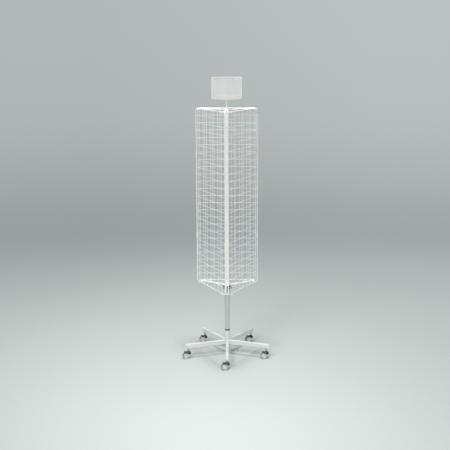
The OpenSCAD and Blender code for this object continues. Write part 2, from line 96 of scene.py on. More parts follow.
# %% Camera
FRAME_PX, FOCAL_PX, SENSOR_MM = 450, 798.15, 36
CAMERA_AT = (0.0597, -5.2556, 2.0832)
YAW_DEG, TILT_DEG, ROLL_DEG, SHIFT_UP = 0.795, 10.939, -0.233, -0.05
cam_data = bpy.data.cameras.new("studio_camera")
cam = bpy.data.objects.new("studio_camera", cam_data)
bpy.context.scene.collection.objects.link(cam)
bpy.context.scene.camera = cam
cam_data.sensor_width = SENSOR_MM
cam_data.lens = FOCAL_PX / FRAME_PX * SENSOR_MM
cam_data.shift_y = SHIFT_UP
yaw, tilt, roll = (math.radians(angle) for angle in (YAW_DEG, TILT_DEG, ROLL_DEG))
level = math.cos(tilt)
right = Vector((math.cos(yaw), math.sin(yaw), 0))
ahead = Vector((-math.sin(yaw) * level, math.cos(yaw) * level, -math.sin(tilt)))
up = right.cross(ahead)
right, up = (
    right * math.cos(roll) + up * math.sin(roll),
    up * math.cos(roll) - right * math.sin(roll),
)
turn = Matrix((right, up, -ahead)).transposed().to_4x4()
cam.matrix_world = Matrix.Translation(CAMERA_AT) @ turn
print("camera looks along", [round(v, 3) for v in ahead])

# %% [markdown]
# ## Colour and node helpers
# A hex code from a colour chart is sRGB, but shaders count in linear light, so one function turns
# it. A second one adds a shader node, gives it its settings and inputs, and links them. A value
# that is itself a node output becomes a link; anything else is set on the socket. Two small ones
# give a colour ramp its stops and start a new material.

# %% Helpers for colour and nodes
def linear(code):
    """The linear RGBA of an sRGB hex colour."""
    parts = [int(code[i : i + 2], 16) / 255 for i in (1, 3, 5)]
    return [p / 12.92 if p <= 0.04045 else ((p + 0.055) / 1.055) ** 2.4 for p in parts] + [1.0]


def add_node(tree, kind, settings=None, **inputs):
    """Adds a node. settings are its properties, and inputs are its socket values or links.

    An input goes by its socket's name, with _ for a space. Some nodes have several sockets of one
    name or none, so i0, i1, i2 stand for the sockets by their place instead.
    """
    made = tree.nodes.new(kind)
    for key, value in (settings or {}).items():
        setattr(made, key, value)
    for key, value in inputs.items():
        by_place = key[0] == "i" and key[1:].isdigit()
        socket = made.inputs[int(key[1:])] if by_place else made.inputs[key.replace("_", " ")]
        if isinstance(value, bpy.types.NodeSocket):
            tree.links.new(value, socket)
        else:
            socket.default_value = value
    return made


def set_stops(ramp, stops):
    """Gives a colour ramp its stops, as pairs of place and hex colour."""
    bar = ramp.color_ramp
    while len(bar.elements) < len(stops):
        bar.elements.new(0.5)
    for element, (place, tone) in zip(bar.elements, stops):
        element.position = place
        element.color = linear(tone)


def new_material(name):
    """A material with only its output and one Principled shader."""
    made = bpy.data.materials.new(name)
    made.use_nodes = True
    return made, made.node_tree, made.node_tree.nodes["Principled BSDF"]


print("white chart patch in linear light:", [round(v, 3) for v in linear("#F2F2F0")])

# %% [markdown]
# ## The floor
# The studio has a paper floor that fades into the backdrop, so no line shows behind the rack, from
# whichever side it is seen. A curved sheet would show its bend from the side. So the floor is one
# flat sheet that turns clear away from the rack, and it keeps the rack's shadow where it is solid.

# %% Floor
FLOOR_HALF, FLOOR_FULL, FLOOR_GONE = 9.0, 0.7, 3.4


def make_floor():
    """A wide sheet on the floor that fades out with the distance from the rack."""
    mesh = bpy.data.meshes.new("paper_floor")
    corners = [(x * FLOOR_HALF, y * FLOOR_HALF, 0) for x, y in ((-1, -1), (1, -1), (1, 1), (-1, 1))]
    mesh.from_pydata(corners, [], [(0, 1, 2, 3)])
    floor = bpy.data.objects.new("paper_floor", mesh)
    bpy.context.scene.collection.objects.link(floor)
    paper, tree, shader = new_material("seamless floor paper")
    place = add_node(tree, "ShaderNodeTexCoord").outputs["Object"]
    away = add_node(tree, "ShaderNodeVectorMath", {"operation": "LENGTH"}, i0=place)
    cover = add_node(
        tree, "ShaderNodeMapRange", {"interpolation_type": "SMOOTHSTEP"},
        Value=away.outputs["Value"], From_Min=FLOOR_FULL, From_Max=FLOOR_GONE,
        To_Min=1.0, To_Max=0.0,
    )
    tree.links.new(cover.outputs["Result"], shader.inputs["Alpha"])
    shader.inputs["Base Color"].default_value = linear("#C4CAC8")
    shader.inputs["Roughness"].default_value = 0.9
    shader.inputs["Specular IOR Level"].default_value = 0.2
    mesh.materials.append(paper)


make_floor()
print("floor fades from", FLOOR_FULL, "to", FLOOR_GONE, "m")

# %% [markdown]
# ## The backdrop
# Past the floor the camera sees the world. Its grey changes with the height of the line of sight: it
# is darkest where the floor has faded out and paler above and below, and it gets brighter to the
# right, as in the photograph. These bands and the brightening to the right are painted shade and
# painted light on the backdrop. Light Path tells the rays apart. The camera, metal and clear plates
# see this backdrop, and all other light from the world is one even grey, so that the backdrop's
# bands don't shade the rack.

# %% World
EVEN_LIGHT = 0.36
SIGHT_LOW, SIGHT_HIGH = -0.5, 0.1
SIDE, LEAN = 0.17, 0.055
# painted shade: the ramp's dark band and the paler bands above and below it
BACKDROP_PAINTED_SHADE = [
    (0.0, "#C8D0CE"), (0.30, "#BEC8C6"), (0.40, "#A9B0B0"), (0.46, "#989F9F"), (0.55, "#A5ABAA"),
    (0.69, "#B4BBBA"), (1.0, "#B8BFBE"),
]
world = bpy.data.worlds.new("even_studio")
bpy.context.scene.world = world
world.use_nodes = True
tree = world.node_tree
even = tree.nodes["Background"]
even.inputs["Color"].default_value = linear("#DDE1E2")
even.inputs["Strength"].default_value = EVEN_LIGHT
look = add_node(tree, "ShaderNodeTexCoord").outputs["Generated"]
way = add_node(tree, "ShaderNodeSeparateXYZ", Vector=look).outputs
height = add_node(
    tree, "ShaderNodeMapRange", Value=way["Z"], From_Min=SIGHT_LOW, From_Max=SIGHT_HIGH
)
# painted light: the backdrop is made brighter to the right
painted_side_light = add_node(
    tree, "ShaderNodeMapRange",
    Value=way["X"], From_Min=-SIDE, From_Max=SIDE, To_Min=1 - LEAN, To_Max=1 + LEAN,
)
tone = add_node(tree, "ShaderNodeValToRGB", Fac=height.outputs["Result"])
set_stops(tone, BACKDROP_PAINTED_SHADE)
tone.color_ramp.interpolation = "B_SPLINE"
seen = add_node(
    tree, "ShaderNodeBackground", Color=tone.outputs["Color"], Strength=painted_side_light.outputs["Result"]
)
rays = add_node(tree, "ShaderNodeLightPath").outputs
shown = rays["Is Camera Ray"]
for kind in ("Is Glossy Ray", "Is Transmission Ray"):
    wider = add_node(tree, "ShaderNodeMath", {"operation": "MAXIMUM"}, i0=shown, i1=rays[kind])
    shown = wider.outputs["Value"]
both = add_node(tree, "ShaderNodeMixShader", i0=shown, i1=even.outputs[0], i2=seen.outputs[0])
tree.links.new(both.outputs[0], tree.nodes["World Output"].inputs["Surface"])
bpy.context.scene.view_settings.view_transform = "Standard"
print("the world lights evenly at", EVEN_LIGHT)

# %% [markdown]
# ## Lamps
# A studio hangs soft boxes round a product, and an area lamp is Blender's soft box. The key stands
# high on the left, a larger and weaker fill on the right, and a wide weak one behind. The small
# top lamp draws the shadow of the arms on the floor. A low lamp before the rack faces down and
# brightens the paper in front. The camera doesn't see the lamps themselves.

# %% Lamps
def soft_lamp(name, at, towards, size, watts, tint):
    """A square area lamp that faces a point and that the camera doesn't see."""
    lamp = bpy.data.lights.new(name, "AREA")
    lamp.size = size
    lamp.energy = watts
    lamp.color = linear(tint)[:3]
    held = bpy.data.objects.new(name, lamp)
    bpy.context.scene.collection.objects.link(held)
    held.location = at
    held.rotation_euler = (Vector(towards) - Vector(at)).to_track_quat("-Z", "Y").to_euler()
    held.visible_camera = False


soft_lamp("key_lamp", (-1.8, -3.3, 4.4), (0, 0, 0.6), 2.0, 146, "#FFFFFD")
soft_lamp("fill_lamp", (3.6, -3.6, 2.8), (0, 0, 0.9), 2.6, 40, "#F8FCFF")
soft_lamp("back_lamp", (0.8, 4.4, 3.4), (0, 0, 0.9), 4.0, 22, "#F8FCFF")
soft_lamp("top_lamp", (0.0, -0.1, 4.4), (0, 0, 0), 0.4, 88, "#FFFFFF")
soft_lamp("front_lamp", (0.0, -1.7, 1.3), (0, -1.701, 0), 1.2, 8.5, "#FFFFFF")

# %% [markdown]
# ## White powder coat
# The wire and the tubes are mild steel with a baked powder coat. The powder flows out before it
# sets, so the skin is smooth but a little wavy, like orange peel, with a soft highlight. Peel is
# about 1 mm across on the real rack; it is drawn at 4 mm, because nothing finer shows at
# this size. A wide noise also lets the white drift slightly, as handled paint does. The base is
# coated apart from the tower, and its white is a shade greyer.

# %% White powder coat
def powder_coat(name, low, high):
    """A baked coat between two close whites, with orange peel."""
    made, tree, shader = new_material(name)
    place = add_node(tree, "ShaderNodeTexCoord").outputs["Object"]
    drift = add_node(tree, "ShaderNodeTexNoise", Vector=place, Scale=1 / (90 * MM), Detail=3.0)
    drift = drift.outputs["Fac"]
    tint = add_node(tree, "ShaderNodeValToRGB", Fac=drift)
    set_stops(tint, [(0.3, low), (0.7, high)])
    peel = add_node(tree, "ShaderNodeTexNoise", Vector=place, Scale=1 / (4 * MM), Detail=1.0)
    gloss = add_node(tree, "ShaderNodeMapRange", Value=drift, To_Min=0.27, To_Max=0.4)
    bump = add_node(
        tree, "ShaderNodeBump", Height=peel.outputs["Fac"], Strength=0.12, Distance=0.4 * MM
    )
    tree.links.new(tint.outputs["Color"], shader.inputs["Base Color"])
    tree.links.new(gloss.outputs["Result"], shader.inputs["Roughness"])
    tree.links.new(bump.outputs["Normal"], shader.inputs["Normal"])
    shader.inputs["IOR"].default_value = 1.5
    return made


white_coat = powder_coat("white polyester powder coat on wire", "#F3F5F4", "#FBFCFB")
base_coat = powder_coat("white epoxy powder coat on tube", "#DDE1E0", "#E5E8E7")
print("made:", white_coat.name, "/", base_coat.name)

# %% [markdown]
# ## Chrome plate
# The standing tube is drawn steel with bright chrome, and so is the snap button in it. Chrome
# mirrors the studio, blurred only by faint polishing lines that run round the tube. The lines are
# a noise that is 1.5 mm high and stretched sideways to 50 mm, so they read as a slightly uneven
# mirror.

# %% Chrome plate
def chrome_plate():
    """Bright chrome with polishing lines round the tube."""
    made, tree, shader = new_material("polished chrome plate on steel tube")
    place = add_node(tree, "ShaderNodeTexCoord").outputs["Object"]
    across, along = 1 / (50 * MM), 1 / (1.5 * MM)
    squeeze = add_node(tree, "ShaderNodeMapping", Vector=place, Scale=(across, across, along))
    lines = add_node(
        tree, "ShaderNodeTexNoise", Vector=squeeze.outputs["Vector"], Scale=1.0, Detail=2.0
    )
    haze = add_node(tree, "ShaderNodeTexNoise", Vector=place, Scale=1 / (45 * MM), Detail=2.0)
    tint = add_node(tree, "ShaderNodeValToRGB", Fac=haze.outputs["Fac"])
    set_stops(tint, [(0.3, "#C9CDCE"), (0.75, "#D9DCDD")])
    rough = add_node(
        tree, "ShaderNodeMapRange", Value=lines.outputs["Fac"], To_Min=0.08, To_Max=0.2
    )
    tree.links.new(tint.outputs["Color"], shader.inputs["Base Color"])
    tree.links.new(rough.outputs["Result"], shader.inputs["Roughness"])
    shader.inputs["Metallic"].default_value = 1.0
    return made


chrome = chrome_plate()
print("made:", chrome.name)

# %% [markdown]
# ## Zinc plate
# Stems, screws, sockets, axles and the inner spigot tube are steel with a thin zinc plate. Zinc is
# greyer and duller than chrome, and its crystals give it faint spangles, here 3 mm across.

# %% Zinc plate
def zinc_plate():
    """Zinc with spangles that change its tone and its shine a little."""
    made, tree, shader = new_material("bright zinc plate on turned steel")
    place = add_node(tree, "ShaderNodeTexCoord").outputs["Object"]
    spangle = add_node(tree, "ShaderNodeTexVoronoi", Vector=place, Scale=1 / (3 * MM))
    spangle = spangle.outputs["Distance"]
    tint = add_node(tree, "ShaderNodeValToRGB", Fac=spangle)
    set_stops(tint, [(0.1, "#B9BCBC"), (0.8, "#CDD0D0")])
    rough = add_node(tree, "ShaderNodeMapRange", Value=spangle, To_Min=0.26, To_Max=0.4)
    tree.links.new(tint.outputs["Color"], shader.inputs["Base Color"])
    tree.links.new(rough.outputs["Result"], shader.inputs["Roughness"])
    shader.inputs["Metallic"].default_value = 1.0
    return made


zinc = zinc_plate()
print("made:", zinc.name)

# %% [markdown]
# ## Black nylon
# Hoods, the collar and its knobs, the ring, bushes and plugs are injection-moulded nylon, dyed
# black. The mould is polished, so the black has a clear shine over a faint, even grain. The grain
# is drawn at 1.2 mm, and scuffs from floors and shoes lift the black a little here and there.

# %% Black nylon
def black_nylon():
    """Shiny black moulding with scuffs and a fine grain."""
    made, tree, shader = new_material("polished moulded black nylon")
    place = add_node(tree, "ShaderNodeTexCoord").outputs["Object"]
    scuff = add_node(
        tree, "ShaderNodeTexNoise", Vector=place, Scale=1 / (14 * MM), Detail=5.0, Roughness=0.7
    )
    scuff = scuff.outputs["Fac"]
    tint = add_node(tree, "ShaderNodeValToRGB", Fac=scuff)
    set_stops(tint, [(0.45, "#17181A"), (0.75, "#2A2B2D")])
    grain = add_node(tree, "ShaderNodeTexNoise", Vector=place, Scale=1 / (1.2 * MM), Detail=1.0)
    bump = add_node(
        tree, "ShaderNodeBump", Height=grain.outputs["Fac"], Strength=0.12, Distance=0.1 * MM
    )
    rough = add_node(tree, "ShaderNodeMapRange", Value=scuff, To_Min=0.16, To_Max=0.3)
    tree.links.new(tint.outputs["Color"], shader.inputs["Base Color"])
    tree.links.new(rough.outputs["Result"], shader.inputs["Roughness"])
    tree.links.new(bump.outputs["Normal"], shader.inputs["Normal"])
    shader.inputs["IOR"].default_value = 1.53
    return made


black_moulded = black_nylon()
print("made:", black_moulded.name)

# %% [markdown]
# ## White and ivory plastic, grey rubber and grey polypropylene
# Caps and clips are white moulded polypropylene, a touch warmer and softer in its shine than the
# powder coat. The sign holder is moulded polystyrene and looks slightly cream. The wheels have a
# grey rubber tread that leaves no marks, on a lighter grey polypropylene disc. Rubber picks up
# dust, so its tone is mottled.

# %% Moulded plastics and rubber
ROUGH_SPREAD = 0.06


def moulded(name, low, high, spot_mm, roughness, grain_mm):
    """A moulded or vulcanised material: two close tones in spots, and a fine grain."""
    made, tree, shader = new_material(name)
    place = add_node(tree, "ShaderNodeTexCoord").outputs["Object"]
    drift = add_node(tree, "ShaderNodeTexNoise", Vector=place, Scale=1 / (spot_mm * MM), Detail=4.0)
    drift = drift.outputs["Fac"]
    tint = add_node(tree, "ShaderNodeValToRGB", Fac=drift)
    set_stops(tint, [(0.35, low), (0.7, high)])
    grain = add_node(
        tree, "ShaderNodeTexNoise", Vector=place, Scale=1 / (grain_mm * MM), Detail=1.0
    )
    bump = add_node(
        tree, "ShaderNodeBump", Height=grain.outputs["Fac"], Strength=0.2, Distance=0.12 * MM
    )
    rough = add_node(
        tree, "ShaderNodeMapRange", Value=drift,
        To_Min=roughness - ROUGH_SPREAD, To_Max=roughness + ROUGH_SPREAD,
    )
    tree.links.new(tint.outputs["Color"], shader.inputs["Base Color"])
    tree.links.new(rough.outputs["Result"], shader.inputs["Roughness"])
    tree.links.new(bump.outputs["Normal"], shader.inputs["Normal"])
    return made


white_moulded = moulded("moulded white polypropylene", "#E9E9E5", "#F3F3EF", 60, 0.42, 1.5)
ivory_moulded = moulded("moulded ivory polystyrene", "#D5D5CE", "#DEDED8", 45, 0.4, 1.3)
grey_tread = moulded("grey non-marking rubber tread", "#B9BCBC", "#C8CBCB", 9, 0.6, 1.0)
grey_disc = moulded("moulded light grey polypropylene", "#DDDFDF", "#E7E9E9", 20, 0.4, 1.2)
print("made:", [m.name for m in (white_moulded, ivory_moulded, grey_tread, grey_disc)])

# %% [markdown]
# ## Clear acrylic and the blank card
# Two clear acrylic plates hold the card. A thin clear plate could be a glass shader, but then
# little light would reach the card through it. A mostly transparent plastic with a gloss gives the
# same look and lets the lamps through. Its IOR is 1.49, and a handled plate has faint hazy smears.
# A 4 mm rim round each plate is drawn denser and whiter, a painted highlight for the light that a
# clear plate lets out at its edges.
# The card is uncoated board: its fibres are drawn as a soft mottling, 4 mm across. It is blank.

# %% Acrylic and card
# the rim's cover makes it denser and whiter: a painted highlight along the plate's edges
RIM, PLATE_COVER, PAINTED_RIM_GLOW_COVER = 4 * MM, 0.16, 0.95


def clear_acrylic():
    """A clear plate whose four edges are denser and whiter, a painted highlight."""
    made, tree, shader = new_material("cast clear acrylic")
    place = add_node(tree, "ShaderNodeTexCoord").outputs
    smear = add_node(
        tree, "ShaderNodeTexNoise", Vector=place["Object"], Scale=1 / (30 * MM), Detail=3.0
    )
    rough = add_node(
        tree, "ShaderNodeMapRange", Value=smear.outputs["Fac"], To_Min=0.02, To_Max=0.1
    )
    low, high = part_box("sign_front_plate")
    part = add_node(tree, "ShaderNodeSeparateXYZ", Vector=place["Generated"]).outputs
    sides = []
    for axis, length in (("X", high[0] - low[0]), ("Z", high[2] - low[2])):
        off = add_node(tree, "ShaderNodeMath", {"operation": "SUBTRACT"}, i0=part[axis], i1=0.5)
        away = add_node(tree, "ShaderNodeMath", {"operation": "ABSOLUTE"}, i0=off.outputs[0])
        edge = add_node(
            tree, "ShaderNodeMath", {"operation": "GREATER_THAN"},
            i0=away.outputs[0], i1=0.5 - RIM / length,
        )
        sides.append(edge.outputs[0])
    # the rim mask carries the painted highlight along the four edges
    painted_rim_glow = add_node(tree, "ShaderNodeMath", {"operation": "MAXIMUM"}, i0=sides[0], i1=sides[1])
    cover = add_node(
        tree, "ShaderNodeMapRange", Value=painted_rim_glow.outputs[0], To_Min=PLATE_COVER, To_Max=PAINTED_RIM_GLOW_COVER
    )
    tree.links.new(rough.outputs["Result"], shader.inputs["Roughness"])
    tree.links.new(cover.outputs["Result"], shader.inputs["Alpha"])
    shader.inputs["Base Color"].default_value = linear("#FAFCFB")
    shader.inputs["IOR"].default_value = 1.49
    return made


def card_board():
    """Plain board with a soft mottling of fibres."""
    made, tree, shader = new_material("uncoated pale grey board")
    place = add_node(tree, "ShaderNodeTexCoord").outputs["Object"]
    fibre = add_node(tree, "ShaderNodeTexNoise", Vector=place, Scale=1 / (4 * MM), Detail=5.0)
    tint = add_node(tree, "ShaderNodeValToRGB", Fac=fibre.outputs["Fac"])
    set_stops(tint, [(0.3, "#D2D5D3"), (0.7, "#D9DCDA")])
    tree.links.new(tint.outputs["Color"], shader.inputs["Base Color"])
    shader.inputs["Roughness"].default_value = 0.75
    return made


acrylic = clear_acrylic()
board = card_board()
print("made:", acrylic.name, "/", board.name)

# %% [markdown]
# ## Finishes for the CAD pieces that stay
# Most solids already have the right shape, so they only get a finish, chosen by the slot that the
# record names for each node. The sign holder's ivory and the greyer white of the base and the
# sign's stem differ from the other pieces of their slots, so they are given last.

# %% Dress the CAD pieces
FINISH = {
    "white_steel": white_coat,
    "white_plastic": white_moulded,
    "black_plastic": black_moulded,
    "bright_steel": zinc,
    "chrome": chrome,
    "grey_wheel": grey_disc,
    "clear_acrylic": acrylic,
    "card": board,
}
for part in frame["record"]["subparts"]:
    solid = frame["nodes"][part["node"]]
    solid.data.materials.clear()
    solid.data.materials.append(FINISH[part["material_slot"]])
frame["nodes"]["sign_holder"].data.materials[0] = ivory_moulded
for node in ["base_post", "sign_stem"] + [f"base_arm_{k}" for k in range(1, 6)]:
    frame["nodes"][node].data.materials[0] = base_coat

# %% [markdown]
# ## Round wire and turned shapes
# The CAD meshes of the long panels are coarse for wire this thin, so the panels are made again.
# A wire is a circle swept along a path, and a turned shape is a profile carried round an axis. One
# class does both, gathers all that belongs to a piece, and makes one mesh of it.

# %% Sweep and piece helpers
SHARP_DEG = 40


class Shape:
    """Vertices and faces of one piece, gathered before the mesh is made."""

    def __init__(self):
        self.verts, self.faces, self.tints, self.tint = [], [], [], 0

    def add_faces(self, faces):
        """Adds faces in the finish that is set now."""
        self.faces += faces
        self.tints += [self.tint] * len(faces)

    def ring_faces(self, starts, sides, closed):
        """Joins each ring of points to the next one, and the last to the first if closed."""
        pairs = list(zip(starts, starts[1:])) + ([(starts[-1], starts[0])] if closed else [])
        for a, b in pairs:
            for i in range(sides):
                j = (i + 1) % sides
                self.add_faces([(a + i, a + j, b + j, b + i)])

    def cap(self, start, sides):
        """Closes a ring with one face."""
        self.add_faces([tuple(start + i for i in range(sides))])

    def wire(self, path, radius, sides, closed=False):
        """Sweeps a circle along a path of points."""
        path = [Vector(p) for p in path]
        starts = []
        for k, point in enumerate(path):
            before = path[k - 1] if k or closed else point
            after = path[(k + 1) % len(path)] if k + 1 < len(path) or closed else point
            way = (after - before).normalized()
            aside = Vector((0, 1, 0)) if abs(way.y) < 0.9 else Vector((1, 0, 0))
            first = way.cross(aside).normalized()
            second = way.cross(first)
            starts.append(len(self.verts))
            for i in range(sides):
                a = 2 * math.pi * i / sides
                self.verts.append(point + radius * (math.cos(a) * first + math.sin(a) * second))
        self.ring_faces(starts, sides, closed)
        if not closed:
            self.cap(starts[0], sides)
            self.cap(starts[-1], sides)

    def nugget(self, at, size, sides=6):
        """A small squashed bead, such as a spot weld."""
        at, starts = Vector(at), []
        for t in (-0.75, 0.0, 0.75):
            wide = math.cos(t * math.pi / 2 * 0.9)
            starts.append(len(self.verts))
            for i in range(sides):
                a = 2 * math.pi * i / sides
                x, z = size[0] * wide * math.cos(a), size[2] * wide * math.sin(a)
                self.verts.append(at + Vector((x, size[1] * t, z)))
        self.ring_faces(starts, sides, False)
        self.cap(starts[0], sides)
        self.cap(starts[-1], sides)

    def lathe(self, profile, axis, sides):
        """Turns a closed profile of (radius, distance along the axis) round an axis."""
        axis = Vector(axis)
        first = axis.orthogonal().normalized()
        second = axis.cross(first)
        starts = []
        for radius, along in profile:
            starts.append(len(self.verts))
            for i in range(sides):
                a = 2 * math.pi * i / sides
                out = first * math.cos(a) + second * math.sin(a)
                self.verts.append(axis * along + out * radius)
        self.ring_faces(starts, sides, True)

    def build(self, name, finishes, body, slot, spin):
        """Makes the mesh object, put in place by spin, and lets it ride on its body.

        A piece with None for its body is left unattached.
        """
        mesh = bpy.data.meshes.new(name)
        mesh.from_pydata([tuple(spin @ Vector(v)) for v in self.verts], [], self.faces)
        work = bmesh.new()
        work.from_mesh(mesh)
        bmesh.ops.recalc_face_normals(work, faces=work.faces)
        work.to_mesh(mesh)
        work.free()
        for finish in finishes:
            mesh.materials.append(finish)
        mesh.polygons.foreach_set("material_index", self.tints)
        mesh.shade_smooth()
        mesh.set_sharp_from_angle(angle=math.radians(SHARP_DEG))
        made = bpy.data.objects.new(name, mesh)
        bpy.context.scene.collection.objects.link(made)
        if body:
            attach(made, body)
        return made


IN_PLACE = Matrix.Identity(4)
print("helpers ready; edges past", SHARP_DEG, "degrees stay sharp")

# %% [markdown]
# ## The wire panels
# Each panel has a 6 mm frame wire bent to a ring, thin uprights on the inside, and thin
# level wires on the outside, where hooks hang on them. Where wires cross, resistance welding
# presses them together and leaves a tiny nugget. The same panel, turned three ways, makes the
# tower.

# %% Panels
FRAME_SIDES, MESH_SIDES, BEND_STEPS = 16, 12, 8
END_NUGGET = (1.9 * MM, 1.1 * MM, 2.6 * MM)
SIDE_NUGGET = (2.6 * MM, 1.1 * MM, 1.9 * MM)
CROSS_NUGGET = (1.5 * MM, 0.9 * MM, 1.5 * MM)
NUGGET_OUT = 0.6 * MM


def panel_shape():
    """One panel, seen from outside along -y: x across, z up from the bottom wire."""
    shape = Shape()
    half = PANEL_W / 2
    path = []
    for cx, cz, a0 in (
        (half - BEND_R, BEND_R, -90),
        (half - BEND_R, PANEL_H - BEND_R, 0),
        (BEND_R - half, PANEL_H - BEND_R, 90),
        (BEND_R - half, BEND_R, 180),
    ):
        for i in range(BEND_STEPS + 1):
            a = math.radians(a0 + 90 * i / BEND_STEPS)
            path.append((cx + BEND_R * math.cos(a), 0, cz + BEND_R * math.sin(a)))
    shape.wire(path, FRAME_R, FRAME_SIDES, closed=True)
    columns = [i * PITCH for i in range(-3, 4)]
    rows = [PANEL_H / 2 + i * PITCH for i in range(-11, 12)]
    for x in columns:
        shape.wire([(x, -MESH_SHIFT, 0), (x, -MESH_SHIFT, PANEL_H)], MESH_R, MESH_SIDES)
        for z in (0, PANEL_H):
            shape.nugget((x, -MESH_SHIFT - NUGGET_OUT, z), END_NUGGET)
    for z in rows:
        shape.wire([(-half, MESH_SHIFT, z), (half, MESH_SHIFT, z)], MESH_R, MESH_SIDES)
        for x in (-half, half):
            shape.nugget((x, MESH_SHIFT + NUGGET_OUT, z), SIDE_NUGGET)
        for x in columns:
            shape.nugget((x, 0, z), CROSS_NUGGET)
    return shape


outwards = Matrix.Translation((0, PANEL_OUT, tower_low))
for k, side in enumerate(("rear", "left", "right")):
    spin = Matrix.Rotation(math.radians(120 * k), 4, "Z") @ outwards
    panel = panel_shape().build(f"wire_panel_{side}", [white_coat], "tower", "white_steel", spin)
    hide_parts(f"panel_{side}")
    print(panel.name, len(panel.data.vertices), "vertices")

# %% [markdown]
# ## The pole
# The pole is a long plain tube. Its CAD mesh shows flats along its length when the camera comes
# close, so it is turned again with a smoother round, and its cut ends get a small broken edge.

# %% Pole
POLE_R, POLE_WALL, POLE_EDGE = 12.7 * MM, 1.6 * MM, 0.5 * MM
UPWARDS, ROUND_SIDES = (0, 0, 1), 64
pole_low, pole_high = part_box("pole")[0][2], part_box("pole")[1][2]
shape = Shape()
shape.lathe(
    [
        (POLE_R - POLE_WALL, pole_low),
        (POLE_R - POLE_EDGE, pole_low),
        (POLE_R, pole_low + POLE_EDGE),
        (POLE_R, pole_high - POLE_EDGE),
        (POLE_R - POLE_EDGE, pole_high),
        (POLE_R - POLE_WALL, pole_high),
    ],
    UPWARDS,
    ROUND_SIDES,
)
pole = shape.build("turning_pole", [white_coat], "tower", "white_steel", IN_PLACE)
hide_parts("pole")
print("pole runs from", round(pole_low, 3), "to", round(pole_high, 3))

# %% [markdown]
# ## Spiders
# A spider carries the panels at each end of the tower. Six rods are welded to a hub in pairs, and
# each pair ends on a crossbar. The panels' end wires lie on the crossbars too, and two upright
# lips on each bar keep them in place. The rods are swept like the wires, the hub is turned, and a
# weld seam runs round each rod's foot.

# %% Spiders
ROD_R, ROD_APART, ROD_SIDES = 3 * MM, 7 * MM, 20
ROD_START, ROD_SHORT, ROD_SUNK = 14.8 * MM, 0.2 * MM, 0.4 * MM
HUB_R, HUB_BORE, HUB_H, HUB_BELOW, HUB_EDGE = 17 * MM, 12.75 * MM, 24 * MM, 5 * MM, 0.6 * MM
BAR_BACK, BAR_W, BAR_T, BAR_TOP, BAR_SPARE = 30 * MM, 16 * MM, 3 * MM, -3.1 * MM, 1 * MM
LIP_LEN, LIP_T, LIP_RISE, LIP_ROOM, LIP_TURN = 14 * MM, 2.5 * MM, 6.1 * MM, 0.3 * MM, 30
BAR_CUT, BEAD_SIDES, FOOT_BEAD, FOOT_STEPS = 0.5 * MM, 8, 0.9 * MM, 18
bar_out = CORNER_OUT - BAR_BACK
bar_cross = CORNER_GAP / 2 + BAR_BACK * math.tan(math.radians(LIP_TURN))
lip_out = FRAME_R + LIP_ROOM + LIP_T / 2
lip_cos, lip_sin = math.cos(math.radians(LIP_TURN)), math.sin(math.radians(LIP_TURN))
bar_half = bar_cross + lip_out * lip_cos + LIP_LEN / 2 * lip_sin + BAR_SPARE


def box_shape(shape, size, place):
    """A bar with its edges broken by a small chamfer, put in place by a matrix."""
    work = bmesh.new()
    bmesh.ops.create_cube(work, size=1)
    bmesh.ops.scale(work, vec=size, verts=work.verts)
    bmesh.ops.bevel(
        work, geom=work.edges, offset=BAR_CUT, segments=2, affect="EDGES", profile=0.5
    )
    start = len(shape.verts)
    shape.verts += [place @ v.co for v in work.verts]
    shape.add_faces([tuple(start + v.index for v in f.verts) for f in work.faces])
    work.free()


def weld_ring(shape, centre, axis, radius, bead, steps):
    """A weld seam: a bead swept round, with the small ripples that the welder's torch leaves."""
    axis, centre = Vector(axis).normalized(), Vector(centre)
    first = axis.orthogonal().normalized()
    second = axis.cross(first)
    starts = []
    for k in range(steps):
        a = 2 * math.pi * k / steps
        out = first * math.cos(a) + second * math.sin(a)
        swell = bead * (1 + 0.14 * math.sin(k * 2.4) + 0.08 * math.sin(k * 5.1))
        starts.append(len(shape.verts))
        for i in range(BEAD_SIDES):
            t = 2 * math.pi * i / BEAD_SIDES
            reach = radius + swell * math.cos(t)
            shape.verts.append(centre + out * reach + axis * swell * math.sin(t))
    shape.ring_faces(starts, BEAD_SIDES, True)


def spider_shape(hub_low):
    """A spider, with height zero at the panels' end wires."""
    shape = Shape()
    shape.lathe(
        [
            (HUB_BORE, hub_low),
            (HUB_R - HUB_EDGE, hub_low),
            (HUB_R, hub_low + HUB_EDGE),
            (HUB_R, hub_low + HUB_H - HUB_EDGE),
            (HUB_R - HUB_EDGE, hub_low + HUB_H),
            (HUB_BORE, hub_low + HUB_H),
        ],
        UPWARDS,
        ROUND_SIDES,
    )
    rod_z = BAR_TOP - ROD_SUNK + ROD_R
    foot = math.sqrt(HUB_R**2 - ROD_APART**2)
    for angle in (-90, 30, 150):
        turn = Matrix.Rotation(math.radians(angle), 4, "Z")
        way = turn @ Vector((1, 0, 0))
        for side in (-1, 1):
            aside = side * ROD_APART
            start = turn @ Vector((ROD_START, aside, rod_z))
            end = turn @ Vector((bar_out + BAR_W / 2 - ROD_SHORT, aside, rod_z))
            shape.wire([start, end], ROD_R, ROD_SIDES)
            at = turn @ Vector((foot, aside, rod_z))
            weld_ring(shape, at, way, ROD_R, FOOT_BEAD, FOOT_STEPS)
            lip = Matrix.Translation((bar_out, side * bar_cross, BAR_TOP - BAR_T))
            lip = lip @ Matrix.Rotation(math.radians(-LIP_TURN * side), 4, "Z")
            lip = lip @ Matrix.Translation((0, side * lip_out, (BAR_T + LIP_RISE) / 2))
            box_shape(shape, (LIP_LEN, LIP_T, BAR_T + LIP_RISE), turn @ lip)
        middle = Matrix.Translation((bar_out, 0, BAR_TOP - BAR_T / 2))
        box_shape(shape, (BAR_W, 2 * bar_half, BAR_T), turn @ middle)
    return shape


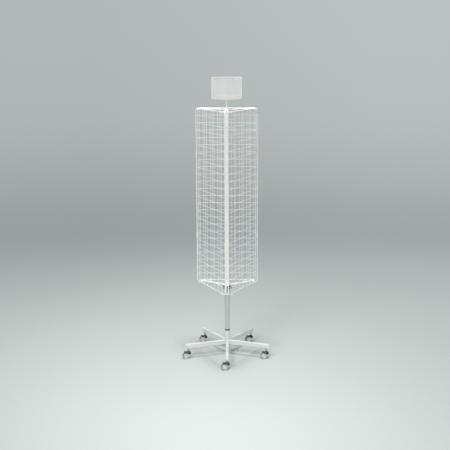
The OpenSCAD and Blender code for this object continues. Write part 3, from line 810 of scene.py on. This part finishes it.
for name, end_wire, hub_low in (
    ("lower_spider", tower_low, -HUB_BELOW),
    ("upper_spider", tower_high, HUB_BELOW - HUB_H),
):
    place = Matrix.Translation((0, 0, end_wire))
    spider = spider_shape(hub_low).build(
        f"welded_{name}", [white_coat], "tower", "white_steel", place
    )
    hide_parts(name)
    print(spider.name, len(spider.data.vertices), "vertices")

# %% [markdown]
# ## Weld seams of the base
# The five arms are mitred round the post and welded. A seam runs round the post where it leaves
# the arms, and one down each mitre, and the powder coat covers them. They are new pieces that ride
# on the base.

# %% Weld seams
ARM_TOP, ARM_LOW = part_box("base_arm_1")[1][2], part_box("base_arm_1")[0][2]
POST_R, ARM_HALF, ARM_TURN = 17 * MM, 10 * MM, 72
POST_BEAD, BEAD_OUT, POST_STEPS = 1.7 * MM, 0.4 * MM, 64
MITRE_BEAD, MITRE_RIPPLE, MITRE_INSET, MITRE_STEPS = 1.5 * MM, 0.25 * MM, 2 * MM, 14
seams = Shape()
weld_ring(
    seams, (0, 0, ARM_TOP + BEAD_OUT), UPWARDS, POST_R + BEAD_OUT, POST_BEAD, POST_STEPS
)
mitre_r = ARM_HALF / math.sin(math.radians(ARM_TURN / 2))
for k in range(5):
    a = math.radians(ARM_TURN * k - 90 + ARM_TURN / 2)
    path = []
    for i in range(MITRE_STEPS + 1):
        z = ARM_LOW + MITRE_INSET + (ARM_TOP - ARM_LOW - 2 * MITRE_INSET) * i / MITRE_STEPS
        out = mitre_r + MITRE_RIPPLE * math.sin(i * 2.3)
        path.append((out * math.cos(a), out * math.sin(a), z))
    seams.wire(path, MITRE_BEAD, BEAD_SIDES)
seams.build("base_weld_seams", [base_coat], "base", "white_steel", IN_PLACE)
print("seams:", len(seams.faces), "faces")

# %% [markdown]
# ## Caster wheels
# Each wheel is two mouldings: a grey rubber tread with round shoulders, and a paler disc with a
# raised hub, a groove round its web and a small cap. Both are turned shapes, so one lathe makes
# them, and a finish number on each face tells rubber from plastic. The joints in the record say
# where each axle stands, so the wheels follow the CAD's headings.

# %% Wheels
WHEEL_IN, WHEEL_SIDES = 6.6 * MM, 72
RUBBER, PLASTIC = 0, 1
TREAD = [
    (14.4, 0.3), (18.2, 0.0), (19.2, 0.4), (19.8, 1.2), (20.0, 2.4), (20.0, 9.4), (19.8, 10.5),
    (19.2, 11.6), (18.2, 12.5), (16.8, 13.0), (15.0, 12.9), (14.4, 12.4),
]
DISC = [
    (3.05, 0.0), (7.0, 0.0), (7.0, 6.2), (14.4, 6.2), (14.4, 12.0), (14.2, 12.2), (14.0, 11.8),
    (13.8, 7.6), (11.8, 7.6), (11.6, 11.2), (11.1, 11.6), (8.4, 11.5), (7.6, 12.3), (6.8, 12.9),
    (4.4, 12.95), (4.0, 12.5), (0.01, 12.5), (0.01, 10.0), (3.05, 10.0),
]
joints = {joint["name"]: joint for joint in frame["record"]["behaviour"]["joints"]}


def wheel_shape():
    """A wheel on the y axis, where y is the distance from its inner face."""
    shape = Shape()
    for finish, profile in ((RUBBER, TREAD), (PLASTIC, DISC)):
        shape.tint = finish
        shape.lathe([(r * MM, y * MM) for r, y in profile], (0, 1, 0), WHEEL_SIDES)
    return shape


off_centre = Matrix.Translation((0, WHEEL_IN, 0))
for k in range(1, 6):
    for side, sign in (("left", 1), ("right", -1)):
        body = f"caster_{k}_{side}"
        rolls = joints[f"caster_{k}_roll_{side}"]
        axle = Vector(rolls["axis"]) * sign
        flip = Vector((0, 1, 0)).rotation_difference(axle).to_matrix().to_4x4()
        spin = Matrix.Translation(rolls["pos_m"]) @ flip @ off_centre
        wheel = wheel_shape().build(
            f"{body}_wheel", [grey_tread, grey_disc], body, "grey_wheel", spin
        )
        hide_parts(f"caster_{k}_wheel_{side}")
print("wheels made: 10")

# %% [markdown]
# ## The snap button's leaf spring
# A strip of spring steel, folded like a hairpin, pushes the snap button out of the tube. It bends
# when the button goes in, and a stiff strip would cut into the button. Its front leg has points only
# at its top and at its knee. Here it is built at rest and rides on no body.

# %% Leaf spring
SPIGOT_R, FLANGE_R, FLANGE_T, REST_GAP = 12.95 * MM, 5.25 * MM, 1.4 * MM, 0.1 * MM
LEAF_W, LEAF_T, LEAF_TOP = 8 * MM, 0.6 * MM, 6 * MM
FOLD_R, FOLD_Z, KNEE_Z, FOLD_STEPS = 3 * MM, -38 * MM, -10 * MM, 12
push = math.sqrt(SPIGOT_R**2 - FLANGE_R**2) - REST_GAP - FLANGE_T - REST_GAP
rear = math.sqrt(SPIGOT_R**2 - (LEAF_W / 2) ** 2) - REST_GAP


def leaf_shape():
    """The strip from its side: x points out at the button, height zero is the button's axis."""
    shape = Shape()
    path = [((push, z), (push - LEAF_T, z)) for z in (LEAF_TOP, KNEE_Z)]
    for i in range(FOLD_STEPS + 1):
        a = -math.pi * i / FOLD_STEPS
        radii = (FOLD_R, FOLD_R - LEAF_T)
        path.append([(r * math.cos(a), FOLD_Z + r * math.sin(a)) for r in radii])
    path.append(((-rear, LEAF_TOP), (LEAF_T - rear, LEAF_TOP)))
    starts = []
    for (x0, z0), (x1, z1) in path:
        starts.append(len(shape.verts))
        for x, z, side in ((x0, z0, 1), (x0, z0, -1), (x1, z1, -1), (x1, z1, 1)):
            shape.verts.append(Vector((x, side * LEAF_W / 2, z)))
    shape.ring_faces(starts, 4, False)
    shape.cap(starts[0], 4)
    shape.cap(starts[-1], 4)
    return shape


outward = -Vector(joints["button_press"]["axis"])
low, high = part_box("lock_button")
heading = Matrix.Rotation(math.atan2(outward.y, outward.x), 4, "Z")
spin = Matrix.Translation((0, 0, (low[2] + high[2]) / 2)) @ heading
spring = leaf_shape().build("button_leaf_spring", [zinc], None, "bright_steel", spin)
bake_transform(spring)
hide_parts("button_spring")
print("leaf spring between x", round(-rear, 5), "and", round(push, 5))

# %% [markdown]
# ## Broken edges
# A real edge always catches a thin line of light. So the moulded pieces that stay as CAD solids
# get a small bevel modifier. It works only where faces meet at more than forty degrees, so the
# round faces stay as they are.

# %% Bevels
SOFT_EDGES_MM = {
    "panel_clips": 0.5, "collar": 0.6, "upper_bush": 0.5, "joint_ring": 0.4, "arm_end_caps": 0.5,
    "sign_holder": 0.8, "sign_front_plate": 0.3, "sign_back_plate": 0.3, "pole_cap": 0.4,
}
SOFT_EDGES_MM.update({f"caster_{k}_hood": 0.7 for k in range(1, 6)})
SOFT_EDGES_MM.update({f"collar_knob_{k}": 0.5 for k in (1, 2, 3)})
for node, width in SOFT_EDGES_MM.items():
    bevel = frame["nodes"][node].modifiers.new("broken_edges", "BEVEL")
    bevel.width = width * MM
    bevel.segments = 2
    bevel.limit_method = "ANGLE"
    bevel.angle_limit = math.radians(SHARP_DEG)
print("softened", len(SOFT_EDGES_MM), "pieces")
